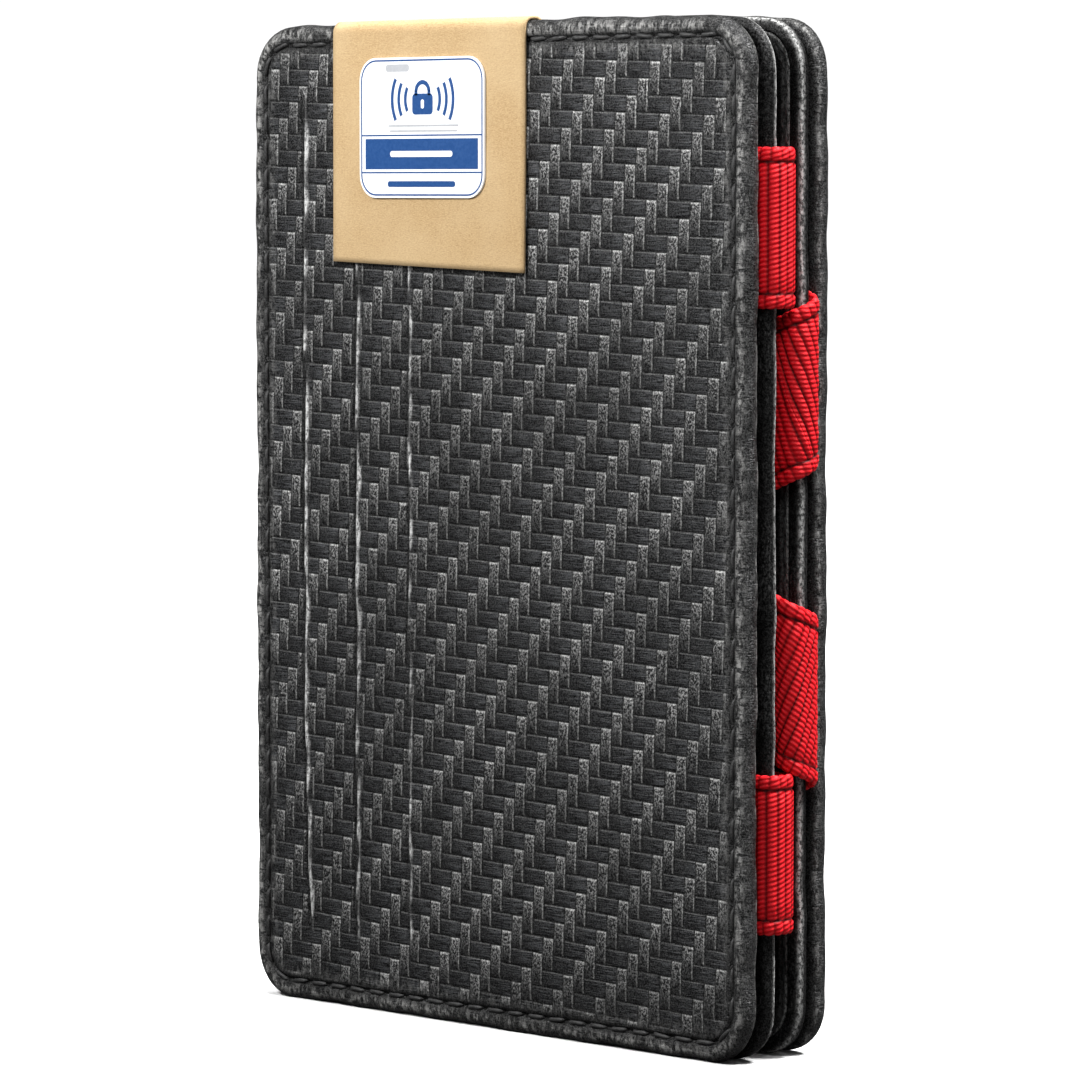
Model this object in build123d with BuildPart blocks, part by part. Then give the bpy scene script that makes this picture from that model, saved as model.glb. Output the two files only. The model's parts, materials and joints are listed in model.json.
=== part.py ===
from build123d import *

import math
import os

# Flip wallet with four thin leaves, joined in two halves by four elastic bands.
# Millimetres. X runs across the wallet, Z up its height, and the front cover faces -Y.
# The origin is the middle of the bottom edge, in the plane between the two halves.
# Each half is a board and a cover that turns about a gutter hinge along the left edge.

# Driving dimensions
leaf_width = 73.0
leaf_height = 105.0
corner_radius = 5.5
cover_thickness = 2.2
board_thickness = 1.7
cover_gap = 0.85
middle_gap = 3.0

# Clearances
sheet_gap = 0.02
running_gap = 0.03
band_end_gap = 0.12

# Depths of the front half. The back half is its mirror image in the middle plane.
board_inner = -middle_gap / 2
board_outer = board_inner - board_thickness
cover_inner = board_outer - cover_gap
cover_outer = cover_inner - cover_thickness
half_width = leaf_width / 2
mid_height = leaf_height / 2

# Leather, stiffeners and stitching
cover_skin = 0.55
board_skin = 0.45
cover_rim = 3.2
board_rim = 1.4
pocket_gap = 0.1
cover_edge_round = 1.05
board_edge_round = 0.8
stiffener_thickness = 0.3
foil_thickness = 0.1
lining_thickness = 0.3
slot_thickness = 0.25
slot_lips = [8.5, 16.6, 24.7]
stitch_inset = 2.0
stitch_pitch = 3.0
stitch_length = 2.2
thread_radius = 0.18
groove_width = 0.6
groove_depth = 0.4

# Elastic bands
band_width = 16.0
band_thickness = 0.7
straight_band_offset = 31.3
cross_band_offset = 14.4
cross_band_layer = 0.39
edge_standoff = 0.9
wrap_bend = 1.25
wrap_lead = 0.2
anchor_length = 11.0
tail_length = 9.0
tail_inset = 1.2
cross_slope = 2 * cross_band_offset / leaf_width
cross_band_height = band_width * math.hypot(1, cross_slope)

# Gutter hinges
gutter_thickness = 0.28
gutter_leg = 8.0
gutter_margin = 6.0
gutter_out = 0.1

# Paper tag and its label
tag_left = 13.3
tag_width = 28.8
tag_drop = 26.0
tag_back_drop = 20.0
tag_thickness = 0.3
tag_gap = 0.08
tag_bend = 1.1
label_width = 18.8
label_height = 14.7
label_thickness = 0.12
label_radius = 2.0
label_left = 4.4
label_drop = 3.6

# Where the folds of the band meet the flat spans
wrap_start = half_width + edge_standoff - wrap_bend - wrap_lead
tail_start = -half_width + tail_inset
tail_depth = board_inner - board_skin / 2
anchor_depth = board_outer - running_gap - band_thickness / 2

os.makedirs("parts", exist_ok=True)


def save(piece, name):
    """Label a finished piece and write it to its own file."""
    piece.label = name
    export_step(piece, f"parts/{name}.step")


def leaf_face(depth, inset):
    """Rounded outline of a leaf at one depth, set in from the leaf's edge."""
    with BuildSketch(Plane.XZ.offset(-depth)) as face:
        with Locations((0, mid_height)):
            RectangleRounded(
                leaf_width - 2 * inset,
                leaf_height - 2 * inset,
                corner_radius - min(inset, corner_radius - 1),
            )
    return face.sketch


def tray(near, far, rim, skin, edge_round):
    """A leather leaf: a skin at the near side with its rim turned over to the far side."""
    with BuildPart() as leather:
        extrude(leaf_face(far, 0), amount=far - near)
        side_faces = leather.faces().sort_by(Axis.Y)
        rims = side_faces[0].outer_wire().edges() + side_faces[-1].outer_wire().edges()
        fillet(rims, radius=edge_round)
        extrude(leaf_face(far, rim), amount=far - near - skin, mode=Mode.SUBTRACT)
    return leather.part


def stitch_groove(surface, inwards):
    """Channel for the thread all round a leaf, sunk inwards (+1 or -1 along Y) from a surface."""
    floor = surface + inwards * groove_depth
    far = max(surface, floor)
    with BuildPart() as groove:
        extrude(leaf_face(far, stitch_inset - groove_width / 2), amount=groove_depth)
        extrude(
            leaf_face(far, stitch_inset + groove_width / 2),
            amount=groove_depth,
            mode=Mode.SUBTRACT,
        )
    return groove.part


def stitches(surface, inwards, skipped=()):
    """Separate lengths of thread lying in the groove, leaving out stretches of the left edge."""
    depth = surface + inwards * groove_depth / 2
    line = leaf_face(depth, stitch_inset).face().outer_wire()
    count = round(line.length / stitch_pitch)
    places = line.locations([(k + 0.5) / count for k in range(count)])
    kept = [p for p in places if not hidden_by_tail(p.position, skipped)]
    with BuildPart() as thread:
        with Locations(*kept):
            Cylinder(thread_radius, stitch_length)
    return thread.part


def hidden_by_tail(point, centres):
    """True where a stitch on the left edge would run under a band's sewn tail."""
    reach = (band_width + stitch_pitch) / 2
    near_left = point.X < tail_start + tail_length
    return near_left and any(abs(point.Z - c) < reach for c in centres)


def layer(near, thickness, left_edge):
    """A flat panel in the cover's tray, from left_edge to the right side of the tray."""
    far = near + thickness
    with BuildPart() as panel:
        extrude(leaf_face(far, cover_rim + pocket_gap), amount=thickness)
        split(bisect_by=Plane.YZ.offset(left_edge), keep=Keep.TOP)
    return panel.part


def tail_windows(centres):
    """Recesses in a board's inner leather where the bands' sewn ends lie."""
    with BuildPart() as windows:
        with BuildSketch(Plane.XZ.offset(-board_inner)):
            with Locations(*[(-half_width, c) for c in centres]):
                Rectangle(
                    2 * (tail_inset + tail_length + pocket_gap),
                    band_width + 2 * pocket_gap,
                )
        extrude(amount=board_skin + sheet_gap)
    return windows.part


def band_profile(corners, bends, thickness, floor, height):
    """A strip whose section follows a bent line in plan, standing on floor."""
    with BuildPart() as strip:
        with BuildSketch(Plane.XY.offset(floor)):
            with BuildLine():
                FilletPolyline(*corners, radius=bends)
            trace(line_width=thickness)
        extrude(amount=height)
    return strip.part


def slanted_prism(centre, slope, depth):
    """Everything between two edges that rise with depth along Y, as tall as a crossing band."""
    reach = 2 * depth
    low = centre - cross_band_height / 2
    high = centre + cross_band_height / 2
    with BuildPart() as prism:
        with BuildSketch(Plane.YZ.offset(half_width - 2 * anchor_length)):
            with BuildLine():
                Polyline(
                    (-reach, low - slope * reach),
                    (reach, low + slope * reach),
                    (reach, high + slope * reach),
                    (-reach, high - slope * reach),
                    close=True,
                )
            make_face()
        extrude(amount=3 * anchor_length)
    return prism.part


def mirrored(piece):
    """The same piece on the other half of the wallet."""
    with BuildPart() as twin:
        mirror(piece, about=Plane.XZ)
    return twin.part


# Covers: carbon-embossed leather over a stiffener, a foil, a lining and three card slots
def cover_pieces():
    """The pieces of the front cover by name, from the outside in."""
    pieces = {}
    with BuildPart() as leather:
        add(tray(cover_outer, cover_inner, cover_rim, cover_skin, cover_edge_round))
        add(stitch_groove(cover_outer, 1), mode=Mode.SUBTRACT)
    pieces["cover_leather"] = leather.part
    pieces["cover_stitching"] = stitches(cover_outer, 1)
    everything = -half_width
    depth = cover_outer + cover_skin + sheet_gap
    pieces["cover_stiffener"] = layer(depth, stiffener_thickness, everything)
    depth += stiffener_thickness + sheet_gap
    pieces["rfid_foil"] = layer(depth, foil_thickness, everything)
    depth += foil_thickness + sheet_gap
    pieces["cover_lining"] = layer(depth, lining_thickness, everything)
    depth += lining_thickness + sheet_gap
    for number, lip in enumerate(slot_lips, start=1):
        pieces[f"card_slot_{number}"] = layer(depth, slot_thickness, lip - half_width)
        depth += slot_thickness + sheet_gap
    return pieces


# Boards: smooth leather wrapped round a core, closed on the inside by a sewn panel
def board_pieces(tail_centres):
    """The pieces of the front board by name, with recesses for the bands' tails."""
    pieces = {}
    windows = tail_windows(tail_centres)
    with BuildPart() as leather:
        add(tray(board_outer, board_inner, board_rim, board_skin, board_edge_round))
        add(windows, mode=Mode.SUBTRACT)
    pieces["board_leather"] = leather.part
    core_thickness = board_thickness - 2 * board_skin - 2 * sheet_gap
    core_far = board_inner - board_skin - sheet_gap
    with BuildPart() as core:
        extrude(leaf_face(core_far, board_rim + pocket_gap), amount=core_thickness)
    pieces["board_core"] = core.part
    with BuildPart() as panel:
        extrude(leaf_face(board_inner, board_rim + pocket_gap), amount=board_skin - sheet_gap)
        add(stitch_groove(board_inner, -1), mode=Mode.SUBTRACT)
        add(windows, mode=Mode.SUBTRACT)
    pieces["inner_panel"] = panel.part
    pieces["board_stitching"] = stitches(board_inner, -1, tail_centres)
    return pieces


# Gutter hinge: a soft strip folded in the gap between a cover and its board
def gutter_hinge():
    """A U-shaped strip whose two legs are glued to the cover and to the board."""
    middle = (cover_inner + board_outer) / 2
    leg = cover_gap / 2 - sheet_gap - gutter_thickness / 2
    fold = -half_width - gutter_out
    leg_end = -half_width + gutter_leg
    with BuildPart() as hinge:
        with BuildSketch(Plane.XY.offset(gutter_margin)):
            with BuildLine():
                Line((leg_end, middle - leg), (fold, middle - leg))
                ThreePointArc(
                    (fold, middle - leg), (fold - leg, middle), (fold, middle + leg)
                )
                Line((fold, middle + leg), (leg_end, middle + leg))
            trace(line_width=gutter_thickness)
        extrude(amount=leaf_height - 2 * gutter_margin)
    return hinge.part


# Straight bands: flat across the middle, one near the top and one near the bottom
def straight_span(centre):
    """The stretch of a straight band that crosses between the halves."""
    with BuildPart() as span:
        with BuildSketch(Plane.XZ.offset(-band_thickness / 2)):
            left = tail_start + band_end_gap
            right = wrap_start - band_end_gap
            with Locations(((left + right) / 2, centre)):
                Rectangle(right - left, band_width)
        extrude(amount=band_thickness)
    return span.part


def straight_wrap(centre):
    """The end of a straight band, round the front board's right edge to its outer side."""
    outer_edge = half_width + edge_standoff
    return band_profile(
        [
            (wrap_start, 0),
            (outer_edge, 0),
            (outer_edge, anchor_depth),
            (half_width - anchor_length, anchor_depth),
        ],
        wrap_bend,
        band_thickness,
        centre - band_width / 2,
        band_width,
    )


# Crossing bands: they swap heights on their way across, so they make an X
def cross_span(right_offset, depth):
    """The slanted stretch of a crossing band; right_offset is its height above the middle."""
    left = tail_start + band_end_gap
    right = wrap_start - band_end_gap
    slope = right_offset / half_width
    half_height = cross_band_height / 2
    with BuildPart() as span:
        with BuildSketch(Plane.XZ.offset(-(depth + band_thickness / 2))):
            with BuildLine():
                Polyline(
                    (left, mid_height + slope * left - half_height),
                    (right, mid_height + slope * right - half_height),
                    (right, mid_height + slope * right + half_height),
                    (left, mid_height + slope * left + half_height),
                    close=True,
                )
            make_face()
        extrude(amount=band_thickness)
    return span.part


def cross_wrap(right_offset, depth):
    """The end of a crossing band, round the back board's right edge and still rising or falling."""
    outer_edge = half_width + edge_standoff
    slope = math.copysign(cross_slope, right_offset)
    strip = band_profile(
        [
            (wrap_start, depth),
            (outer_edge, depth),
            (outer_edge, -anchor_depth),
            (half_width - anchor_length, -anchor_depth),
        ],
        wrap_bend,
        band_thickness,
        mid_height + right_offset - band_width,
        2 * band_width,
    )
    with BuildPart() as wrap:
        add(strip)
        add(
            slanted_prism(mid_height + right_offset, slope, -anchor_depth),
            mode=Mode.INTERSECT,
        )
    return wrap.part


def band_tail(centre, span_depth):
    """The band's other end: folded back at the left edge and sewn flat on a board's inner side."""
    thickness = board_skin - 2 * sheet_gap
    radius = (span_depth - tail_depth) / 2
    middle = (span_depth + tail_depth) / 2
    with BuildPart() as tail:
        with BuildSketch(Plane.XY.offset(centre - band_width / 2)):
            with BuildLine():
                ThreePointArc(
                    (tail_start, span_depth),
                    (tail_start - radius, middle),
                    (tail_start, tail_depth),
                )
                Line((tail_start, tail_depth), (tail_start + tail_length, tail_depth))
            trace(line_width=thickness)
        extrude(amount=band_width)
    return tail.part


# Paper tag: folded over the front cover's top edge
def kraft_tag():
    """A strip of card hanging on both sides of the front cover."""
    front = cover_outer - tag_gap - tag_thickness / 2
    back = cover_inner + tag_gap + tag_thickness / 2
    top = leaf_height + tag_gap + tag_thickness / 2
    with BuildPart() as tag:
        with BuildSketch(Plane.YZ.offset(-half_width + tag_left)):
            with BuildLine():
                FilletPolyline(
                    (front, leaf_height - tag_drop),
                    (front, top),
                    (back, top),
                    (back, leaf_height - tag_back_drop),
                    radius=tag_bend,
                )
            trace(line_width=tag_thickness)
        extrude(amount=tag_width)
    return tag.part


def tag_label():
    """A rounded sticker on the front of the tag."""
    face_depth = cover_outer - tag_gap - tag_thickness - sheet_gap
    centre_x = -half_width + tag_left + label_left + label_width / 2
    centre_z = leaf_height - label_drop - label_height / 2
    with BuildPart() as label:
        with BuildSketch(Plane.XZ.offset(-face_depth)):
            with Locations((centre_x, centre_z)):
                RectangleRounded(label_width, label_height, label_radius)
        extrude(amount=label_thickness)
    return label.part


# Heights of the bands: straight ones outside, crossing ones inside
straight_centres = [mid_height - straight_band_offset, mid_height + straight_band_offset]
cross_centres = [mid_height - cross_band_offset, mid_height + cross_band_offset]

for name, piece in cover_pieces().items():
    save(piece, f"front_{name}")
    save(mirrored(piece), f"back_{name}")

save(gutter_hinge(), "front_gutter_hinge")
save(mirrored(gutter_hinge()), "back_gutter_hinge")

for name, piece in board_pieces(cross_centres).items():
    save(piece, f"front_{name}")
for name, piece in board_pieces(straight_centres).items():
    save(mirrored(piece), f"back_{name}")

# The tails of the straight bands lie on the back board, so the front board's shape is mirrored
for height_name, centre in zip(["lower", "upper"], straight_centres):
    save(straight_span(centre), f"{height_name}_straight_band")
    save(straight_wrap(centre), f"{height_name}_straight_band_wrap")
    save(mirrored(band_tail(centre, 0)), f"{height_name}_straight_band_tail")

# Of the crossing bands, the one that rises to the right lies nearer the back board
for direction, right_offset, depth in [
    ("rising", cross_band_offset, cross_band_layer),
    ("falling", -cross_band_offset, -cross_band_layer),
]:
    save(cross_span(right_offset, depth), f"{direction}_cross_band")
    save(cross_wrap(right_offset, depth), f"{direction}_cross_band_wrap")
    save(band_tail(mid_height - right_offset, depth), f"{direction}_cross_band_tail")

save(kraft_tag(), "kraft_tag")
save(tag_label(), "tag_label")
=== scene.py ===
import json
import math

import bpy
import numpy as np
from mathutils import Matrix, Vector


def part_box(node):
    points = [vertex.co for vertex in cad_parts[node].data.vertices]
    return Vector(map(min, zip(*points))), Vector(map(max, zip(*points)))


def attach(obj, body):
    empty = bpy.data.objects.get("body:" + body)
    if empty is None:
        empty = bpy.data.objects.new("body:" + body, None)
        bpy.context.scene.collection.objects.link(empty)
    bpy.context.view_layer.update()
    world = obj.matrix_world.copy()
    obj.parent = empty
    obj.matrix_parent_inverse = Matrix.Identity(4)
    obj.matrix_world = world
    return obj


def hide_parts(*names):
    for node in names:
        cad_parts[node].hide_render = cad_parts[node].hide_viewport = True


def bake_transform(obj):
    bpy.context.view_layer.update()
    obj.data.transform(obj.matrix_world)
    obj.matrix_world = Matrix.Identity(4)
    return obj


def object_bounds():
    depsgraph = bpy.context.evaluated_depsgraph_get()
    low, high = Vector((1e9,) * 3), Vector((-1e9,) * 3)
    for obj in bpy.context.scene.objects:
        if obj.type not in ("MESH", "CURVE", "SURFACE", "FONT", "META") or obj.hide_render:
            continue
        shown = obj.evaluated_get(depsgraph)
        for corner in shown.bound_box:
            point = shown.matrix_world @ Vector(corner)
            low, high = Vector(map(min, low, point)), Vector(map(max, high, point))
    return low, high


# Looks of the flip wallet. Lengths below are in millimetres and are turned into metres by MM.
MM = 0.001
QUARTER = math.radians(90)
BLACK = 0.0005
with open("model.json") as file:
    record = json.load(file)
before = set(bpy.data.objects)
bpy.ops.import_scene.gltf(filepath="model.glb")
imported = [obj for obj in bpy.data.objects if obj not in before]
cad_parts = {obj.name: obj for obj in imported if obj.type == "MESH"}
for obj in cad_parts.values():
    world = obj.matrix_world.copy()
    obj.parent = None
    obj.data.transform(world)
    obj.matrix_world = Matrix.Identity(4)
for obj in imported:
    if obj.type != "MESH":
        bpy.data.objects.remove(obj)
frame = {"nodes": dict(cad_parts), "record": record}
cad_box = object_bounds()

# Weave of the embossed leather, seen from outside each cover
COLUMN_PITCH = 1.53
ROW_PITCH = 1.74
WEAVE_TURN = math.radians(1.8)
WEAVE_RELIEF = 0.17
COLUMN_SAMPLES = [0.0, 0.10, 0.34, 0.66, 0.90]
ROW_SAMPLES = [0.0, 0.09, 0.34, 0.66, 0.90]

# Leaves: turned edges, stitched border and the pressed-through card slots
LIP_STRENGTH = (1.0, 0.95, 0.6)
CORNER_RADIUS = 5.5
CORNER_FAN = 10
STITCH_INSET = 2.0
STITCH_PITCH = 3.0
GROOVE_DEPTH = 0.34
GROOVE_WIDTH = 0.30
STITCH_SUNK = 0.20
COVER_ROUND = 1.05
COVER_SKIN = 0.55
COVER_RIM = 3.2
BOARD_ROUND = 0.8
BOARD_SKIN = 0.45
BOARD_RIM = 1.4
BOARD_GRID = 3.0
EDGE_WAVE = 0.13
PANEL_RADIUS = 4.0
SHEET_RADIUS = 2.2
SHEET_GRID = 2.4
CREASE_INSET = 1.3
RIDGE_HEIGHT = 0.16
RIDGE_SIDE = 0.55

# Stitches: strands on a few rings of points
STRAND_RADIUS = 0.24
STRAND_RINGS = 9
STRAND_POINTS = 8
NEEDLE_DIVE = 0.30

# Gutter hinges
HINGE_THICKNESS = 0.28
HINGE_FOLD = 0.26
HINGE_FIT = 0.99
HINGE_FINE = 2.0

# Kraft tag
TAG_THICKNESS = 0.3
TAG_BEND = 1.1
TAG_BACK_DROP = 20.0
TAG_SKEW = 0.95
TAG_PRESS = 0.03

# Label on the tag: paper, rim, band and the bars and shapes that stand for print
LABEL_LIFT = 0.10
LABEL_RADIUS = 2.4
LABEL_INSET = 0.22
RIM_WIDTH = 0.18
INK = 0.012
BAND_DROP = 10.1
PADLOCK_X = 0.2

# Camera in degrees and millimetres, the room, the floor and the overhead light
CAMERA_TURN = 45.0
CAMERA_RISE = 3.75
CAMERA_DISTANCE = 566.7
CAMERA_LENS = 180.6
CAMERA_AIM = (1.3, 0.0, 51.0)
SENSOR_WIDTH = 36.0
ROOM_LIGHT = 0.08
ROOM_WHITE = 1.05
FLOOR_REACH = 30.0
OVERHEAD_LIGHT = 3.5
OVERHEAD_SPREAD = 45.0
OVERHEAD_TILT = -7.0

# Soft boxes: place and target in metres (None is the object's middle), power and side
SOFT_BOXES = (
    ("key", (-0.055, -0.165, 0.195), (0.005, -0.006, 0.07), 0.62, 0.045),
    ("side", (0.105, -0.07, 0.165), (0.005, -0.006, 0.07), 0.09, 0.05),
    ("upper_right", (0.60, 0.60, 1.40), None, 56.0, 0.5),
)

# Elastic bands
BAND_BASE = 0.17
RIB_HEIGHT = 0.24
RIB_PITCH = 0.98
SELVAGE = 1.45
BEAD_LENGTH = 0.5
TAIL_THICKNESS = 0.41
SPAN_THICKNESS = 0.68
CROSS_RISE = 28.8
CROSS_RUN = 73.0
WRAP_BEND = 1.25
FOLD_FIT = 0.999
BEND_SAMPLES = 17
TANGENT_REACH = 0.05


def smooth_step(low, high, value):
    """0 below low, 1 above high and a smooth ramp between, for arrays."""
    t = np.clip((value - low) / (high - low), 0.0, 1.0)
    return t * t * (3 - 2 * t)


def bump_curve(value, centre, width):
    """A bell of height 1 about centre."""
    return np.exp(-(((value - centre) / width) ** 2))


def waves(x, z, seed, scale):
    """Gentle unevenness between about -1 and 1: a few crossed waves with seeded directions."""
    rng = np.random.default_rng(seed)
    total = np.zeros_like(x)
    for _ in range(5):
        angle, phase = rng.uniform(0, 2 * math.pi, 2)
        length = scale * rng.uniform(0.6, 1.6)
        along = x * math.cos(angle) + z * math.sin(angle)
        total += np.sin(2 * math.pi * along / length + phase)
    return total / 5


def size_of(node):
    """Lowest and highest corner of a CAD node, in millimetres."""
    low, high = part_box(node)
    return np.array(low) / MM, np.array(high) / MM


def make_mesh(name, points, faces, attributes=None, smooth=True):
    """A mesh object from points in millimetres, with float attributes per vertex."""
    mesh = bpy.data.meshes.new(name)
    mesh.from_pydata((np.asarray(points) * MM).tolist(), [], faces)
    mesh.polygons.foreach_set("use_smooth", [smooth] * len(mesh.polygons))
    for key, values in (attributes or {}).items():
        data = mesh.attributes.new(key, "FLOAT", "POINT").data
        data.foreach_set("value", np.asarray(values, np.float32))
    mesh.validate()
    mesh.update()
    piece = bpy.data.objects.new(name, mesh)
    bpy.context.scene.collection.objects.link(piece)
    return piece


def paint(piece, material):
    piece.data.materials.clear()
    piece.data.materials.append(material)


def dress(piece, slot, node):
    """Paints a piece with its slot's material and hides the CAD node it stands for."""
    paint(piece, MATERIALS[slot])
    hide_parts(node)


# ---------------------------------------------------------------- materials


class Signal:
    """A node's output. Sums, products and ramps of it add the nodes that work them out."""

    def __init__(self, nodes, output):
        self.nodes = nodes
        self.output = output

    def __add__(self, other):
        return self.nodes.math("ADD", self, other)

    def __sub__(self, other):
        return self.nodes.math("SUBTRACT", self, other)

    def __rsub__(self, other):
        return self.nodes.math("SUBTRACT", other, self)

    def __mul__(self, other):
        return self.nodes.math("MULTIPLY", self, other)

    def ramp(self, low, high, out_low=0.0, out_high=1.0):
        """A smooth ramp from out_low at low to out_high at high."""
        inputs = (self, low, high, out_low, out_high)
        return self.nodes.add("ShaderNodeMapRange", inputs, interpolation_type="SMOOTHSTEP")


class Nodes:
    """Short way to write a material's node tree."""

    def __init__(self, name):
        self.material = bpy.data.materials.new(name)
        self.material.use_nodes = True
        self.tree = self.material.node_tree
        self.shader = self.tree.nodes["Principled BSDF"]

    def link(self, source, target):
        if isinstance(source, Signal):
            self.tree.links.new(source.output, target)
        else:
            target.default_value = source

    def add(self, kind, inputs=(), output=0, **settings):
        """The output of a new node whose inputs are given in order or by name."""
        node = self.tree.nodes.new(kind)
        for key, value in settings.items():
            setattr(node, key, value)
        for key, value in inputs.items() if isinstance(inputs, dict) else enumerate(inputs):
            self.link(value, node.inputs[key])
        return Signal(self, node.outputs[output])

    def math(self, operation, *inputs):
        return self.add("ShaderNodeMath", inputs, operation=operation)

    def attribute(self, name):
        return self.add("ShaderNodeAttribute", output="Fac", attribute_name=name)

    def place(self, stretch=(1, 1, 1)):
        """Object coordinates, in millimetres, stretched."""
        where = self.add("ShaderNodeTexCoord", output="Object")
        return self.add("ShaderNodeMapping", {"Vector": where, "Scale": [s / MM for s in stretch]})

    def noise(self, scale, detail, roughness, stretch=(1, 1, 1), vector=None):
        inputs = {"Vector": vector or self.place(stretch), "Scale": scale, "Detail": detail,
                  "Roughness": roughness}
        return self.add("ShaderNodeTexNoise", inputs, "Fac")

    def cells(self, scale):
        return self.add("ShaderNodeTexVoronoi", {"Vector": self.place(), "Scale": scale}, "Distance")

    def mix(self, factor, *colours):
        """A colour between two: each a signal, three parts or a grey level."""
        inputs = {"Factor": factor}
        for key, value in zip("AB", colours):
            inputs[key] = value if isinstance(value, Signal) else (*np.broadcast_to(value, 3).tolist(), 1.0)
        return self.add("ShaderNodeMix", inputs, "Result", data_type="RGBA")

    def bump(self, height, distance):
        return self.add("ShaderNodeBump", {"Height": height, "Distance": distance * MM})

    def finish(self, colour, roughness, normal, **settings):
        settings |= {"Base_Color": colour, "Roughness": roughness, "Normal": normal}
        for key, value in settings.items():
            self.link(value, self.shader.inputs[key.replace("_", " ")])
        return self.material


def weave_leather():
    """Black leather embossed with a two-by-two twill: grainy upright floats, finely combed level ones."""
    n = Nodes("weave_leather")
    u = n.attribute("weave_u")
    v = n.attribute("weave_v")
    amount = n.attribute("weave_amount")
    across_column = n.math("FRACT", u)
    across_row = n.math("FRACT", v)
    up = n.math("FLOORED_MODULO", v - n.math("FLOOR", u), 4.0)
    right = n.math("FLOORED_MODULO", u - n.math("FLOOR", v), 4.0)
    is_up = n.math("LESS_THAN", up, 2.0)
    is_right = 1.0 - is_up

    def to_edge(value, low, high):
        return n.math("MINIMUM", value - low, high - value)

    # Distance to the nearest groove, and the rims beside it, which get a painted highlight
    up_edge = n.math("MINIMUM", to_edge(across_column, 0.0, 1.0), to_edge(up, 0.0, 2.0))
    right_edge = n.math("MINIMUM", to_edge(across_row, 0.0, 1.0), to_edge(right, 1.0, 3.0))
    edge = up_edge * is_up + right_edge * is_right
    plateau = edge.ramp(0.0, 0.13)
    top_rim_highlight = (2.0 - up).ramp(0.22, 0.05)
    right_rim_highlight = (1.0 - across_column).ramp(0.20, 0.05)
    level_rim_highlight = (1.0 - across_row).ramp(0.14, 0.04) * is_right
    rim = n.math("MAXIMUM", top_rim_highlight, right_rim_highlight * 0.7) * is_up
    rim = n.math("MAXIMUM", rim, level_rim_highlight * 0.35) * plateau

    # The two sorts of float: grain speckles on the upright ones and combing on the level ones. The upright
    # ones are painted far lighter as painted sheen. Each upright float is painted darker towards its lower
    # end and each level float towards its left end, as painted shade
    speckle = n.noise(5.0, 2.0, 0.75, (1, 1, 0.8)).ramp(0.46, 0.62)
    combed = n.noise(1.1, 3.0, 0.65, (0.45, 1, 7.0)).ramp(0.40, 0.68)
    up_share = speckle * up.ramp(0.1, 1.7, 0.10, 1.0)
    up_tone = n.mix(up_share, (0.003, 0.003, 0.0035), (0.350, 0.350, 0.345))
    right_share = combed * right.ramp(1.2, 2.9, 0.12, 1.0)
    right_tone = n.mix(right_share, (0.0015, 0.0015, 0.002), (0.066, 0.069, 0.074))
    tone = n.mix(is_up, right_tone, up_tone)
    # Painted highlight on the upright floats' top and right rims and on the level floats' upper rims
    tone = n.mix(rim * speckle.ramp(0.0, 1.0, 0.35, 1.0), tone, (0.80, 0.80, 0.78))
    # Painted shade in the grooves between the floats
    tone = n.mix(edge.ramp(0.07, 0.02), tone, BLACK)
    creases = n.noise(2.4, 5.0, 0.75).ramp(0.42, 0.62)
    tone = n.mix(amount, n.mix(creases, BLACK, 0.020), tone)

    # The turned border's folds, rubbed light in places, and a painted highlight along the back of the rolled
    # edge; then the card-slot lines' painted highlight and shade
    run = n.add("ShaderNodeCombineXYZ", (n.attribute("border_run"), n.attribute("border_inset") * 0.35))
    folds = n.noise(1.7, 4.0, 0.7, vector=run).ramp(0.40, 0.50)
    rubbed = n.noise(1.5, 6.0, 0.8, (1, 1, 0.5)).ramp(0.44, 0.60) * folds
    tone = n.mix(n.attribute("edge_wear") * rubbed, tone, (0.400, 0.396, 0.384))
    # The card-slot lines: painted shade in the crease beside each ridge and a broken painted highlight on the
    # ridge
    ridge = n.attribute("ridge_line")
    tone = n.mix(ridge.ramp(-0.05, -0.6), tone, BLACK)
    broken = n.noise(3.0, 4.0, 0.8, (1, 1, 0.45)).ramp(0.40, 0.56, 0.12, 1.0)
    tone = n.mix(ridge.ramp(0.05, 0.5) * broken, tone, (0.80, 0.80, 0.79))
    patches = n.noise(0.09, 3.0, 0.6).ramp(0.35, 0.7, 0.0, 0.45)
    tone = n.mix(patches, tone, 0.001)

    grain = n.noise(4.2, 3.0, 0.7, (1, 1, 0.7))
    gloss = grain.ramp(0.3, 0.7, 0.36, 0.50) - is_right * 0.04
    fine = speckle * is_up * 0.45 + combed * is_right * 0.35
    height = plateau * amount * 0.5 + fine + rubbed * 0.25
    shine = n.noise(6.0, 3.0, 0.75).ramp(0.42, 0.60, 0.08, 0.8)
    return n.finish(tone, gloss, n.bump(height, 0.12), Specular_IOR_Level=shine)


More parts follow.
